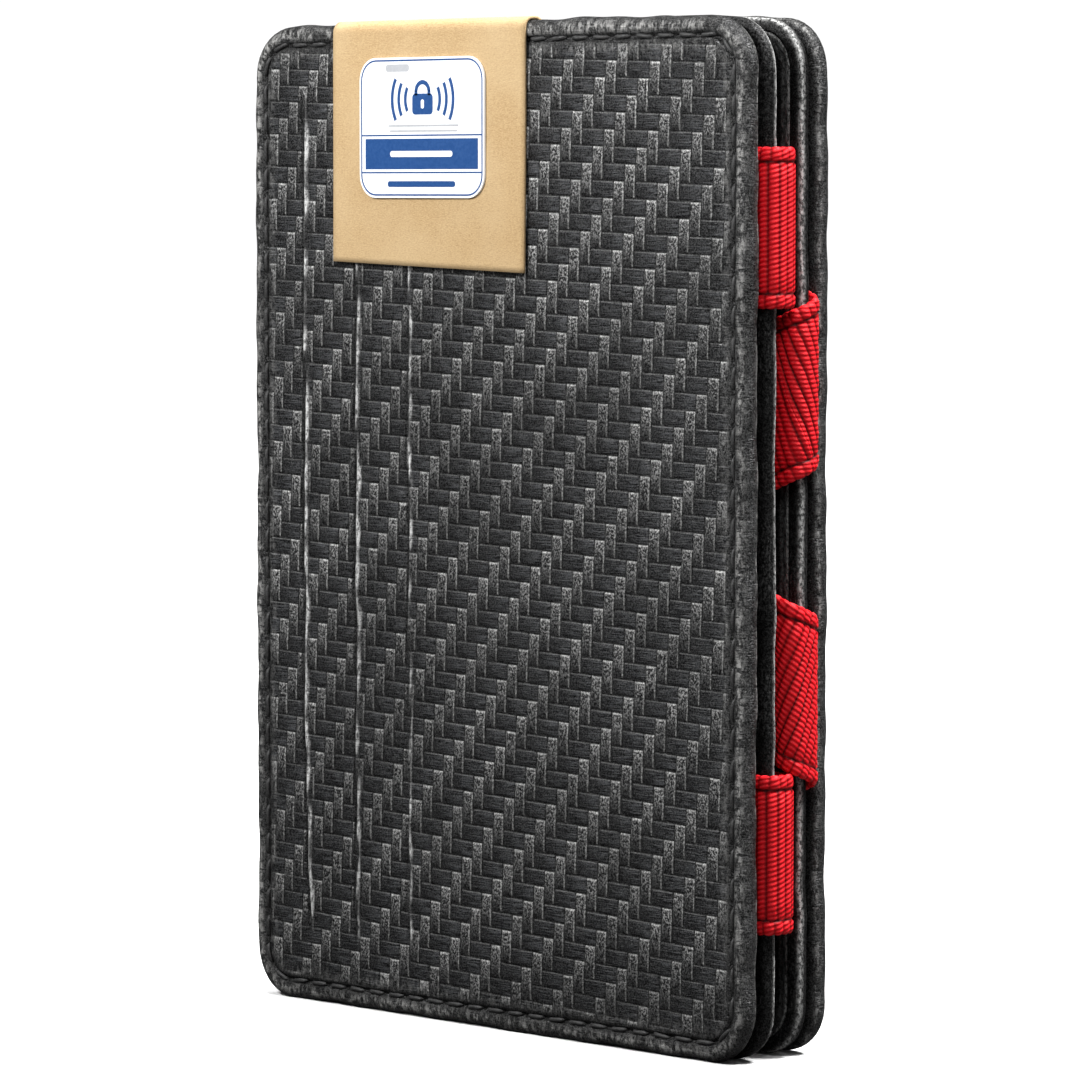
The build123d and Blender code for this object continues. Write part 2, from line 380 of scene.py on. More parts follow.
def smooth_leather(name, low, high, wear, scale):
    """Plain black leather with pebbled grain, rubbed high spots and a broken light line on marked edges: wear
    on sheets and hinge folds, a painted highlight along the boards' back edges.
    """
    n = Nodes(name)
    pebble = n.cells(scale)
    grain = n.noise(3.0, 5.0, 0.65)
    rubbed = n.noise(4.5, 4.0, 0.7, (1, 1, 0.5)).ramp(0.48, 0.66)
    patches = n.noise(0.25, 3.0, 0.6, (1, 1, 0.35)).ramp(0.35, 0.65)
    tone = n.mix(pebble.ramp(0.1, 0.6), high, low)
    tone = n.mix(rubbed * patches, tone, wear)
    flecks = n.noise(3.2, 4.0, 0.8, (1, 1, 0.6)).ramp(0.42, 0.58, 0.1, 1.0)
    # Light flecks on marked edges: wear on sheets and hinge folds, a painted highlight along the boards' back
    # edges
    tone = n.mix(n.attribute("edge_wear") * flecks, tone, (0.55, 0.55, 0.54))
    shine = n.noise(6.0, 3.0, 0.75).ramp(0.44, 0.62, 0.02, 0.38)
    bump = n.bump(pebble * -0.5 + grain, 0.10)
    return n.finish(tone, grain.ramp(0.3, 0.7, 0.34, 0.54), bump, Specular_IOR_Level=shine)


def red_elastic():
    """Ribbed red elastic: each rib is a tightly twisted cord, with painted shade in the grooves between the
    ribs, painted highlights on the beads of the twist and painted shade in its troughs.
    """
    n = Nodes("red_elastic")
    crown = n.attribute("band_crown")
    slanted = n.attribute("band_across") + n.attribute("band_along") * 0.35
    twist = n.math("SINE", slanted * (2 * math.pi / BEAD_LENGTH))
    fluff = n.noise(3.4, 4.0, 0.7)
    # Painted shade in the grooves between the ribs and at the seams, where the crown is low
    tone = n.mix(crown.ramp(0.15, 0.95), (0.03, 0.0, 0.0005), (0.74, 0.002, 0.008))
    # Painted highlight on the beads of the twist along the tops of the ribs
    bead = twist.ramp(0.1, 1.0) * crown.ramp(0.6, 1.0)
    tone = n.mix(bead * 0.55, tone, (1.0, 0.05, 0.065))
    # Painted shade in the troughs of the twist
    tone = n.mix(twist.ramp(-0.4, -1.0, 0.0, 0.45), tone, (0.26, 0.0, 0.003))
    tone = n.mix(fluff.ramp(0.45, 0.75, 0.0, 0.30), tone, (0.34, 0.001, 0.005))
    bump = n.bump(twist * 0.5 + fluff, 0.07)
    return n.finish(tone, fluff.ramp(0.3, 0.7, 0.45, 0.65), bump, Specular_IOR_Level=0.16)


def kraft_card():
    """Brown card with fine fibres and a slightly mottled surface."""
    n = Nodes("kraft_card")
    fibres = n.noise(3.6, 6.0, 0.8, (1, 1, 2.2))
    flecks = n.noise(5.0, 3.0, 0.7, (0.6, 1, 1.3)).ramp(0.50, 0.70)
    clouds = n.noise(0.12, 3.0, 0.5).ramp(0.3, 0.7, 0.0, 0.35)
    tone = n.mix(fibres.ramp(0.3, 0.7), (0.37, 0.236, 0.106), (0.54, 0.387, 0.207))
    tone = n.mix(flecks * 0.55, tone, (0.28, 0.165, 0.068))
    tone = n.mix(clouds, tone, (0.58, 0.44, 0.26))
    return n.finish(tone, fibres.ramp(0.3, 0.7, 0.66, 0.85), n.bump(fibres, 0.06), Specular_IOR_Level=0.3)


def noisy(name, noise, relief, colours, roughness, reach=(0.3, 0.7), **settings):
    """A plain finish: one noise drives its two colours, its roughness and its fine relief."""
    n = Nodes(name)
    grain = n.noise(*noise)
    tone = n.mix(grain.ramp(*reach), *colours)
    return n.finish(tone, grain.ramp(0.3, 0.7, *roughness), n.bump(grain, relief), **settings)


def printed_paper(name, shade, colour, roughness):
    """Smooth sticker stock or ink, with a barely uneven surface."""
    return noisy(name, (4.0, 3.0, 0.6), 0.008, (shade, colour), (roughness, roughness + 0.12),
                 Specular_IOR_Level=0.45)


def crinkled_foil():
    """Thin shielding foil with crinkles."""
    n = Nodes("crinkled_foil")
    fine = n.noise(1.5, 4.0, 0.6)
    tone = n.mix(fine.ramp(0.3, 0.7), (0.62, 0.63, 0.65), (0.80, 0.81, 0.83))
    bump = n.bump(n.cells(0.35) + fine * 0.4, 0.10)
    return n.finish(tone, fine.ramp(0.3, 0.7, 0.18, 0.34), bump, Metallic=1.0)


def mix_by_camera_ray(tree, thrown, shown, output):
    """One shader lights the object, the other is how the floor or the room looks itself."""
    ray = tree.nodes.new("ShaderNodeLightPath")
    blend = tree.nodes.new("ShaderNodeMixShader")
    tree.links.new(ray.outputs["Is Camera Ray"], blend.inputs[0])
    tree.links.new(thrown.outputs[0], blend.inputs[1])
    tree.links.new(shown.outputs[0], blend.inputs[2])
    tree.links.new(blend.outputs[0], output.inputs["Surface"])


def pale_floor():
    """Plain pale floor that looks white but throws less light back at the object."""
    n = Nodes("pale_floor")
    shown = n.tree.nodes.new("ShaderNodeBsdfPrincipled")
    for shader, tone in ((n.shader, 0.07), (shown, 0.95)):
        shader.inputs["Base Color"].default_value = (tone, tone, tone, 1)
        shader.inputs["Roughness"].default_value = 0.8
    mix_by_camera_ray(n.tree, n.shader, shown, n.tree.nodes["Material Output"])
    return n.material


MATERIALS = {
    "cover_leather": weave_leather(),
    "smooth_leather": smooth_leather("smooth_leather", 0.002, 0.008, 0.05, 2.2),
    "lining_leather": smooth_leather("lining_leather", 0.006, 0.022, 0.06, 3.0),
    "board": noisy("grey_board", (2.5, 5.0, 0.7), 0.05, ((0.07, 0.07, 0.068), (0.16, 0.155, 0.15)),
                   (0.75, 0.92)),
    "foil": crinkled_foil(),
    "thread": noisy("spun_thread", (1.5, 2.0, 0.5, (6, 6, 6)), 0.05, (0.004, 0.045), (0.45, 0.7),
                    (0.4, 0.65)),
    "red_elastic": red_elastic(),
    "kraft_card": kraft_card(),
    "label": printed_paper("label_paper", (0.86, 0.87, 0.88), (0.90, 0.91, 0.92), 0.30),
}
BLUE_INK = printed_paper("blue_ink", (0.009, 0.054, 0.190), (0.012, 0.066, 0.220), 0.36)
GREY_INK = printed_paper("grey_ink", (0.38, 0.39, 0.41), (0.42, 0.43, 0.45), 0.40)

# The CAD nodes that stay take their slot's material
for entry in frame["record"]["subparts"]:
    paint(frame["nodes"][entry["node"]], MATERIALS[entry["material_slot"]])


# ---------------------------------------------------------------- covers


def turned(x, z, angle):
    """A point's place in axes that are turned by an angle."""
    return x * math.cos(angle) + z * math.sin(angle), z * math.cos(angle) - x * math.sin(angle)


def lattice(x, z):
    """Column and row numbers of the weave at a point of the cover."""
    along_x, along_z = turned(x, z, -WEAVE_TURN)
    return along_x / COLUMN_PITCH, along_z / ROW_PITCH


def crown(value, low, high, steep):
    """A rounded plateau between low and high, 0 at both ends."""
    t = np.clip(2 * (value - low) / (high - low) - 1, -1, 1)
    return 1 - np.abs(t) ** steep


def weave_height(u, v):
    """Height of the embossed twill, from 0 in the grooves to 1 on the upright floats."""
    column = np.floor(u)
    row = np.floor(v)
    up = np.mod(v - column, 4)
    right = np.mod(u - row, 4)
    upright = crown(u - column, 0, 1, 5) * (0.72 + 0.28 * crown(up, -0.6, 2, 6)) * crown(up, 0, 2, 14)
    level = crown(v - row, 0, 1, 6) * crown(right, 1, 3, 12) * 0.72
    return np.where(up < 2, upright, level)


def sample_lines(half, pitch, fractions):
    """Grid lines that follow the weave's floats, from -half to half."""
    count = math.ceil(half / pitch) + 1
    lines = [(k + f) * pitch for k in range(-count, count) for f in fractions]
    gap = 0.4 * pitch * (1 - fractions[-1])
    inner = [value for value in lines if abs(value) < half - gap]
    return np.array([-half, *inner, half])


def ring_profile(thickness, edge_round, rim, skin):
    """(inset, depth) pairs over a leaf's border, round its edge and over its turned rim."""
    pairs = []
    for start, end, step in ((CORNER_RADIUS - 0.3, 2.6, 0.3), (2.5, 1.5, 0.1), (1.45, edge_round, 0.15)):
        pairs += [(d, 0.0) for d in np.arange(start, end, -step)]
    turns = np.radians(np.linspace(0, 90, 7))
    pairs += [(edge_round * (1 - math.sin(t)), edge_round * (1 - math.cos(t))) for t in turns]
    far = thickness - edge_round
    pairs += [(edge_round * (1 - math.cos(t)), far + edge_round * math.sin(t)) for t in turns[1:]]
    pairs += [(d, thickness) for d in np.linspace(edge_round, rim, 4)[1:]]
    return pairs + [(rim, skin)]


def border_sides(columns, rows):
    """The vertex numbers along a grid's four sides in order, each with both of its corners."""
    return [
        list(range(columns)),
        [j * columns + columns - 1 for j in range(rows)],
        [(rows - 1) * columns + i for i in reversed(range(columns))],
        [j * columns for j in reversed(range(rows))],
    ]


def perimeter(columns, rows):
    """The inner grid's border in order: its vertex numbers and outward directions, fanned at corners."""
    numbers, turns = [], []
    for side, vertices in enumerate(border_sides(columns, rows)):
        start = QUARTER * (side - 1)
        fan = range(1, CORNER_FAN)
        numbers += vertices + [vertices[-1]] * len(fan)
        turns += [start] * len(vertices) + [start + QUARTER * k / CORNER_FAN for k in fan]
    return np.array(numbers), np.array(turns)


def lip_relief(x, z, low, high, lips):
    """Card-slot edges pressed through the leather: their height, their share and a line of painted highlight
    on each ridge with painted shade in the crease beside it.
    """
    ends = smooth_step(low[2] + 6.0, low[2] + 10.0, z) * (1 - smooth_step(high[2] - 9.0, high[2] - 6.0, z))
    total, share, line = (np.zeros_like(x) for _ in range(3))
    for number, (lip, strength) in enumerate(zip(lips, LIP_STRENGTH)):
        drift = 0.8 * smooth_step(low[2] + 30.0, low[2] + 8.0, z) if number == 0 else 0.0
        wobble = 0.10 * np.sin(z / 3.1 + 2 * number) + 0.07 * np.sin(z / 1.3 + number)
        offset = x - (low[0] + lip) - drift - wobble
        level = ends * strength
        creases = 0.20 * bump_curve(offset, -RIDGE_SIDE, 0.20) + 0.12 * bump_curve(offset, 0.60, 0.18)
        total += level * (RIDGE_HEIGHT * bump_curve(offset, 0, 0.28) - creases)
        share += level * bump_curve(offset, 0, 0.62)
        # Painted highlight along each ridge, broken along its length, and painted shade in the crease beside
        # it as negative values
        broken = 0.65 + 0.35 * np.sin(z / 0.9 + 1.7 * np.sin(z / 4.1 + number))
        line += level * (broken * bump_curve(offset, 0.0, 0.20) - bump_curve(offset, -RIDGE_SIDE, 0.22))
    return total, share, line


class Leaf:
    """Size and place of one leather leaf, read from its CAD node."""

    def __init__(self, node, outward, radius=CORNER_RADIUS):
        self.node = node
        self.radius = radius
        self.outward = outward
        self.low, self.high = size_of(node)
        self.outer = self.low[1] if outward < 0 else self.high[1]
        self.thickness = self.high[1] - self.low[1]
        self.centre_z = (self.low[2] + self.high[2]) / 2
        self.centre_x = (self.low[0] + self.high[0]) / 2
        self.half_x = (self.high[0] - self.low[0]) / 2 - radius
        self.half_z = (self.high[2] - self.low[2]) / 2 - radius


def leaf_mesh(name, leaf, body, lines, profile, turn, relief, material, uneven=EDGE_WAVE):
    """A leaf's leather: a grid over the field and rings over the border, edge and turned rim.

    turn(x, z, room) moves the grid's points in the plane of the leaf. relief(place) gives how far each
    point is sunk into the leaf and the mesh's attributes.
    """
    xs, zs = lines
    grid_x, grid_z = (part.ravel() for part in np.meshgrid(xs, zs))
    room = np.minimum(leaf.half_x - np.abs(grid_x), leaf.half_z - np.abs(grid_z))
    field_x, field_z = turn(grid_x, grid_z, room)
    numbers, turns = perimeter(len(xs), len(zs))
    around = arc_lengths(grid_x, grid_z, numbers, turns, max(leaf.radius - STITCH_INSET, 0.5))
    rng = np.random.default_rng(len(name))
    wave = sum(
        np.sin(2 * math.pi * (around / around[-1] * cycles + rng.uniform())) for cycles in (9, 16, 31, 57)
    ) * uneven / 2.5

    count = len(field_x)
    blocks = [(field_x, field_z, leaf.radius + np.maximum(0, room), np.zeros(count), np.zeros(count))]
    for inset, depth in profile:
        reach = leaf.radius - inset + wave * float(1 - smooth_step(0.6, 1.6, inset))
        blocks.append((grid_x[numbers] + reach * np.cos(turns), grid_z[numbers] + reach * np.sin(turns),
                       np.full(len(numbers), inset), np.full(len(numbers), depth), around))
    keys = ("x", "z", "inset", "depth", "around")
    place = {key: np.concatenate(values) for key, values in zip(keys, zip(*blocks))}
    sunk, attributes = relief(place)
    depths = leaf.outer - leaf.outward * (place["depth"] + sunk)
    points = np.stack([place["x"] + leaf.centre_x, depths, place["z"] + leaf.centre_z], axis=1)
    faces = grid_faces(len(xs), len(zs)) + ring_faces(numbers, count, len(profile))
    last = count + (len(profile) - 1) * len(numbers)
    faces.append(list(range(last + len(numbers) - 1, last - 1, -1)))
    if leaf.outward > 0:
        faces = [face[::-1] for face in faces]
    piece = make_mesh(name, points, faces, attributes)
    dress(piece, material, leaf.node)
    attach(piece, body)


def cover(side):
    """One embossed cover: weave, card-slot ridges, stitch groove and rolled edge."""
    leaf = Leaf(f"{side}_cover_leather", -1 if side == "front" else 1)
    lips = [size_of(f"{side}_card_slot_{k}")[0][0] - leaf.low[0] for k in (1, 2, 3)]
    lines = (sample_lines(leaf.half_x, COLUMN_PITCH, COLUMN_SAMPLES),
             sample_lines(leaf.half_z, ROW_PITCH, ROW_SAMPLES))

    def turn(x, z, room):
        share = smooth_step(0.0, 5.0, room)
        turned_x, turned_z = turned(x, z, WEAVE_TURN)
        return x + share * (turned_x - x), z + share * (turned_z - z)

    def relief(place):
        x, z, inset, depth = place["x"], place["z"], place["inset"], place["depth"]
        near = 1 - smooth_step(0.0, 0.9 * COVER_ROUND, depth)
        # The embossing reads the same way round from outside either cover
        u, v = lattice(x if side == "front" else -x, z)
        ridge, ridge_share, ridge_line = lip_relief(x, z + leaf.centre_z, leaf.low, leaf.high, lips)
        field_share = smooth_step(2.3, 3.3, inset)
        border_share = 0.22 * (1 - smooth_step(1.5, 2.0, inset))
        amount = (field_share * (1 - 0.75 * np.clip(ridge_share, 0, 1)) + border_share) * near
        needle = 0.5 + 0.5 * np.cos(2 * math.pi * place["around"] / STITCH_PITCH)
        groove = bump_curve(inset, STITCH_INSET, GROOVE_WIDTH) * (GROOVE_DEPTH + 0.10 * needle)
        shoulder = 0.12 * (1 - smooth_step(2.4, 7.0, inset)) * smooth_step(1.6, 2.2, inset)
        uneven = 1 + 0.18 * waves(x, z, 11, 22.0)
        sunk = WEAVE_RELIEF * (1 - weave_height(u, v)) * np.clip(amount * uneven, 0, 1.2)
        sunk += groove + shoulder - ridge - 0.05 * waves(x, z, 5, 34.0) * smooth_step(3, 9, inset)
        sunk += 0.03 * waves(x, z, 8, 5.0) * (1 - field_share)
        wear = near * (bump_curve(inset, 0.95, 0.50) + 0.3 * bump_curve(inset, 3.0, 0.5))
        # A painted highlight along the back of the rolled edge
        wear = np.maximum(wear, bump_curve(inset, 0.1, 0.35) * bump_curve(depth / leaf.thickness, 0.78, 0.10))
        line = np.clip(ridge_line * near, -1, 1)
        attributes = {"weave_u": u, "weave_v": v, "weave_amount": np.clip(amount, 0, 1), "edge_wear": wear,
                      "ridge_line": line, "border_run": place["around"], "border_inset": inset}
        return sunk * near, attributes

    profile = ring_profile(leaf.thickness, COVER_ROUND, COVER_RIM, COVER_SKIN)
    leaf_mesh(f"{side}_cover_embossed", leaf, f"{side}_cover", lines, profile, turn, relief, "cover_leather")
    stitching(f"{side}_cover", leaf, leaf.outer, leaf.outward, [])


def unturned(x, z, room):
    """The grid's points as they are, for leaves without a weave."""
    return x, z


def board(side, tails):
    """One plain leather board with softly uneven edges; its turned rim dips where the bands' tails lie."""
    leaf = Leaf(f"{side}_board_leather", -1 if side == "front" else 1)
    halves = (leaf.half_x, leaf.half_z)
    lines = [np.linspace(-half, half, round(2 * half / BOARD_GRID) + 1) for half in halves]
    windows = [size_of(node) for node in tails]

    def relief(place):
        x, z, inset, depth = place["x"], place["z"], place["inset"], place["depth"]
        sunk = 0.06 * waves(x, z, 21, 30.0) * smooth_step(2.0, 8.0, inset)
        far = smooth_step(0.5, 0.8, depth / leaf.thickness)
        sunk = sunk + 0.05 * waves(x, z, 22, 9.0) * bump_curve(inset, 0.2, 0.6)
        for low, high in windows:
            centre, half = (low[2] + high[2]) / 2 - leaf.centre_z, (high[2] - low[2]) / 2
            beside = 1 - smooth_step(half + 0.2, half + 2.2, np.abs(z - centre))
            sunk = sunk - (BOARD_SKIN + 0.05) * far * beside * (x < high[0]) * (depth > leaf.thickness / 2)
        # A painted highlight along the back of the board's rounded edge
        wear = bump_curve(inset, 0.1, 0.35) * bump_curve(depth / leaf.thickness, 0.76, 0.12)
        return sunk, {"edge_wear": wear}

    profile = ring_profile(leaf.thickness, BOARD_ROUND, BOARD_RIM, BOARD_SKIN)
    leaf_mesh(f"{side}_board_wrapped", leaf, f"{side}_board", lines, profile, unturned, relief,
              "smooth_leather")
    panel_low, panel_high = size_of(f"{side}_inner_panel")
    surface = panel_high[1] if side == "front" else panel_low[1]
    stitching(f"{side}_board", leaf, surface, -leaf.outward, windows)


def arc_lengths(grid_x, grid_z, numbers, turns, reach):
    """Distance of each point of a border ring along the line at reach from the corners' centres."""
    px = grid_x[numbers] + reach * np.cos(turns)
    pz = grid_z[numbers] + reach * np.sin(turns)
    steps = np.hypot(np.diff(px, prepend=px[0]), np.diff(pz, prepend=pz[0]))
    return np.cumsum(steps)


def grid_faces(columns, rows):
    """Quads of a grid, facing -Y when columns run along +X and rows along +Z."""
    i, j = np.meshgrid(np.arange(columns - 1), np.arange(rows - 1))
    first = (j * columns + i).ravel()
    quads = np.stack([first, first + 1, first + columns + 1, first + columns], axis=1)
    return quads.tolist()


def sheet_faces(columns, rows, total):
    """Closed faces of a thin sheet whose second side's points follow the first's."""
    faces = grid_faces(columns, rows)
    faces += [[i + total for i in face[::-1]] for face in faces]
    border = [number for side in border_sides(columns, rows) for number in side[:-1]]
    for here, after in zip(border, border[1:] + border[:1]):
        faces.append([after, here, here + total, after + total])
    return faces


def ring_faces(numbers, offset, rings):
    """Faces from the inner grid's border over every ring."""
    count = len(numbers)
    faces = []
    for k in range(count):
        following = (k + 1) % count
        inner = [numbers[following], numbers[k]]
        if inner[0] == inner[1]:
            inner = inner[:1]
        faces.append([int(n) for n in inner] + [offset + k, offset + following])
    for ring in range(rings - 1):
        start = offset + ring * count
        for k in range(count):
            following = (k + 1) % count
            faces.append([start + following, start + k, start + count + k, start + count + following])
    return faces


def stitch_line(leaf, inset):
    """A function from distance to (x, z, turn) along a leaf's rounded outline, and its length."""
    radius = leaf.radius - inset
    half_x, half_z = leaf.half_x, leaf.half_z
    corners = [(half_x, -half_z), (half_x, half_z), (-half_x, half_z), (-half_x, -half_z)]
    pieces = []
    for k, (cx, cz) in enumerate(corners):
        heading = QUARTER * k
        run = 2 * (half_x if k % 2 == 0 else half_z)
        start = (cx - run * math.cos(heading), cz - run * math.sin(heading))
        pieces.append((run, start, heading, False))
        pieces.append((QUARTER * radius, (cx, cz), heading, True))

    def place(distance):
        for length, start, heading, bends in pieces:
            if distance <= length:
                break
            distance -= length
        turn, run = (distance / radius, 0.0) if bends else (0.0, distance)
        side = heading - QUARTER + turn
        x = start[0] + radius * math.cos(side) + run * math.cos(heading)
        z = start[1] + radius * math.sin(side) + run * math.sin(heading)
        return leaf.centre_x + x, leaf.centre_z + z, heading + turn

    return place, sum(p[0] for p in pieces)


def stitching(body, leaf, outer, facing, windows):
    """Separate stitches, each a plump strand that dives into its two needle holes."""
    place, length = stitch_line(leaf, STITCH_INSET)
    rng = np.random.default_rng(3)
    count = round(length / STITCH_PITCH)
    last = STRAND_RINGS - 1
    points, faces = [], []
    for number in range(count):
        x, z, heading = place((number + 0.5) / count * length)
        slant = heading + rng.normal(0, 0.04)
        half = STITCH_PITCH * 0.40 * rng.uniform(0.94, 1.04)
        if any(x < high[0] and low[2] - 1.5 < z < high[2] + 1.5 for low, high in windows):
            continue
        first = len(points)
        for k in range(STRAND_RINGS):
            t = 2 * k / last - 1
            dive = NEEDLE_DIVE * abs(t) ** 3
            radius = STRAND_RADIUS * (0.35 + 0.65 * math.sqrt(max(0.0, 1 - t ** 4)))
            for m in range(STRAND_POINTS):
                angle = 2 * math.pi * m / STRAND_POINTS
                swell = 1 + 0.10 * math.sin(2 * angle + 5 * t)
                sideways = radius * swell * math.cos(angle)
                outwards = radius * swell * math.sin(angle) - dive - STITCH_SUNK
                points.append([
                    x + half * t * math.cos(slant) - sideways * math.sin(slant),
                    outer + facing * outwards,
                    z + half * t * math.sin(slant) + sideways * math.cos(slant),
                ])
        for a in range(first, first + last * STRAND_POINTS):
            b = a + 1 if (a + 1 - first) % STRAND_POINTS else a + 1 - STRAND_POINTS
            faces.append([a, b, b + STRAND_POINTS, a + STRAND_POINTS])
        faces.append([first + m for m in reversed(range(STRAND_POINTS))])
        faces.append([first + last * STRAND_POINTS + m for m in range(STRAND_POINTS)])
    if facing > 0:
        faces = [face[::-1] for face in faces]
    piece = make_mesh(f"{body}_thread", points, faces)
    dress(piece, "thread", f"{body}_stitching")
    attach(piece, body)


def sheet(node, body, facing, radius, material, windows=(), stitch_inset=None):
    """One thin leather sheet: gently rippled, with a pressed crease or a stitch groove inside its border."""
    leaf = Leaf(node, facing, radius)
    edge = 0.4 * leaf.thickness
    profile = [(inset, 0.0) for inset in np.arange(radius - 0.3, 0.15, -0.15)]
    turns = np.radians([0, 30, 60, 90])
    profile += [(edge * (1 - math.sin(t)), edge * (1 - math.cos(t))) for t in turns]
    profile += [(0.0, leaf.thickness), (min(1.5, radius / 2), leaf.thickness)]
    holes = []
    for low, high in windows:
        middle_z = (low[2] + high[2]) / 2 - leaf.centre_z
        holes.append((high[0] - leaf.centre_x + 0.2, middle_z, (high[2] - low[2]) / 2 + 0.2))

    def grid(half, borders):
        count = max(2, round(2 * half / SHEET_GRID))
        lines = list(np.linspace(-half, half, count + 1))
        for border in borders:
            lines = [value for value in lines if abs(value - border) > 0.2 or abs(value) == half]
            lines += [border - 0.06, border + 0.06]
        return np.array(sorted(lines))

    def relief(place):
        x, z, inset, depth = place["x"], place["z"], place["inset"], place["depth"]
        face = depth < leaf.thickness / 2
        sunk = 0.05 * (1 + waves(x, z, len(node), 24.0)) / 2 * smooth_step(0.4, 3.0, inset)
        line = CREASE_INSET if stitch_inset is None else stitch_inset
        sunk = sunk + 0.35 * leaf.thickness * bump_curve(inset, line, 0.16)
        for reach, centre, half in holes:
            inside = (x < reach) & (np.abs(z - centre) < half)
            sunk = np.where(inside, leaf.thickness - 0.03, sunk)
        wear = 0.35 * bump_curve(inset, 0.15, 0.25) + 0.12 * bump_curve(inset, line + 0.4, 0.2)
        return sunk * face, {"edge_wear": wear * face}

    lines = (
        grid(leaf.half_x, [holes[0][0]] if holes else []),
        grid(leaf.half_z, [centre + sign * half for _, centre, half in holes for sign in (-1, 1)]),
    )
    leaf_mesh(f"{node}_skin", leaf, body, lines, profile, unturned, relief, material, 0.03)


def stretches(ends, counts):
    """Stations along a path: evenly spaced between neighbouring ends, with a count for each stretch."""
    runs = [np.linspace(a, b, count) for a, b, count in zip(ends, ends[1:], counts)]
    return np.concatenate([runs[0], *(run[1:] for run in runs[1:])])


def gutter_hinge(side, outward):
    """The folded leather strip that joins a cover to its board along the left edge."""
    low, high = size_of(f"{side}_gutter_hinge")
    axis_y = (low[1] + high[1]) / 2
    fold_x = low[0] + HINGE_THICKNESS / 2
    inner, outer = axis_y - outward * HINGE_FOLD, axis_y + outward * HINGE_FOLD
    path = PlanPath([(high[0], inner), (fold_x, inner), (fold_x, outer), (high[0], outer)],
                    [HINGE_FIT * HINGE_FOLD] * 2)
    flat = path.length / 2 - HINGE_FINE
    stations = stretches((0, flat, flat + 2 * HINGE_FINE, path.length), (10, 34, 10))
    heights = np.linspace(low[2], high[2], 63)
    z, s = np.meshgrid(heights, stations)
    x, y, nx, ny = path.at(s)
    grain = 0.015 * waves(s, z, 41, 7.0)
    offsets = [sign * (HINGE_THICKNESS / 2 - 0.02) + grain for sign in (1, -1)]
    sides = [np.stack([x + nx * off, y + ny * off, z], axis=-1).reshape(-1, 3) for off in offsets]
    faces = sheet_faces(len(heights), len(stations), len(sides[0]))
    if outward > 0:
        faces = [face[::-1] for face in faces]
    fold = np.tile(0.1 * bump_curve(s, path.length / 2, 0.5).ravel(), 2)
    piece = make_mesh(f"{side}_gutter_fold", np.concatenate(sides), faces, {"edge_wear": fold})
    dress(piece, "smooth_leather", f"{side}_gutter_hinge")
    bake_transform(piece)


for side, outward, tails in (("front", -1, ("rising_cross_band_tail", "falling_cross_band_tail")),
                             ("back", 1, ("lower_straight_band_tail", "upper_straight_band_tail"))):
    cover(side)
    board(side, tails)
    sheet(f"{side}_inner_panel", f"{side}_board", -outward, PANEL_RADIUS, "smooth_leather",
          [size_of(node) for node in tails], STITCH_INSET - 1.5)
    for name in ("cover_lining", "card_slot_1", "card_slot_2", "card_slot_3"):
        sheet(f"{side}_{name}", f"{side}_cover", -outward, SHEET_RADIUS, "lining_leather")


# ---------------------------------------------------------------- elastic bands


class PlanPath:
    """A centre line in one plane: straight runs and arcs, by distance."""

    def __init__(self, corners, radii):
        """corners are points of the plane; radii has one bend per inner corner."""
        points = [np.array(c, float) for c in corners]
        samples = [points[0]]
        for before, corner, after, radius in zip(points, points[1:], points[2:], radii):
            back, on = ((end - corner) / np.linalg.norm(end - corner) for end in (before, after))
            angle = math.acos(float(np.clip(back @ on, -1, 1)))
            run = radius / math.tan(angle / 2)
            centre = corner + (back + on) / np.linalg.norm(back + on) * radius / math.sin(angle / 2)
            first, last = (math.atan2(*(corner + way * run - centre)[::-1]) for way in (back, on))
            sweep = (last - first + math.pi) % (2 * math.pi) - math.pi
            turns = first + sweep * np.linspace(0, 1, BEND_SAMPLES)
            samples += [centre + radius * np.array([math.cos(turn), math.sin(turn)]) for turn in turns]
        samples.append(points[-1])
        steps = np.linalg.norm(np.diff(samples, axis=0), axis=1)
        self.points = np.array(samples)[np.concatenate([[True], steps > 1e-6])]
        steps = np.linalg.norm(np.diff(self.points, axis=0), axis=1)
        self.distance = np.concatenate([[0], np.cumsum(steps)])
        self.length = self.distance[-1]

    def inside(self, distance):
        """The point at each distance, held at the ends."""
        kept = np.clip(distance, 0, self.length)
        return [np.interp(kept, self.distance, self.points[:, k]) for k in (0, 1)]

    def at(self, distance):
        """The point and unit normal at each distance, carried straight on past the ends."""
        kept = np.clip(distance, 0, self.length)
        x, y = self.inside(kept)
        (x1, y1), (x0, y0) = self.inside(kept + TANGENT_REACH), self.inside(kept - TANGENT_REACH)
        size = np.hypot(x1 - x0, y1 - y0)
        tx, ty = (x1 - x0) / size, (y1 - y0) / size
        beyond = distance - kept
        return x + beyond * tx, y + beyond * ty, -ty, tx


def band_cross_lines(half):
    """Positions across a band, close together over the two selvages."""
    edge = np.array([0.0, 0.08, 0.22, 0.42, 0.66, 0.92, 1.16, 1.36, SELVAGE])
    middle = np.linspace(SELVAGE + 0.3, 2 * half - SELVAGE - 0.3, 9)
    return np.concatenate([edge, middle, 2 * half - edge[::-1]]) - half


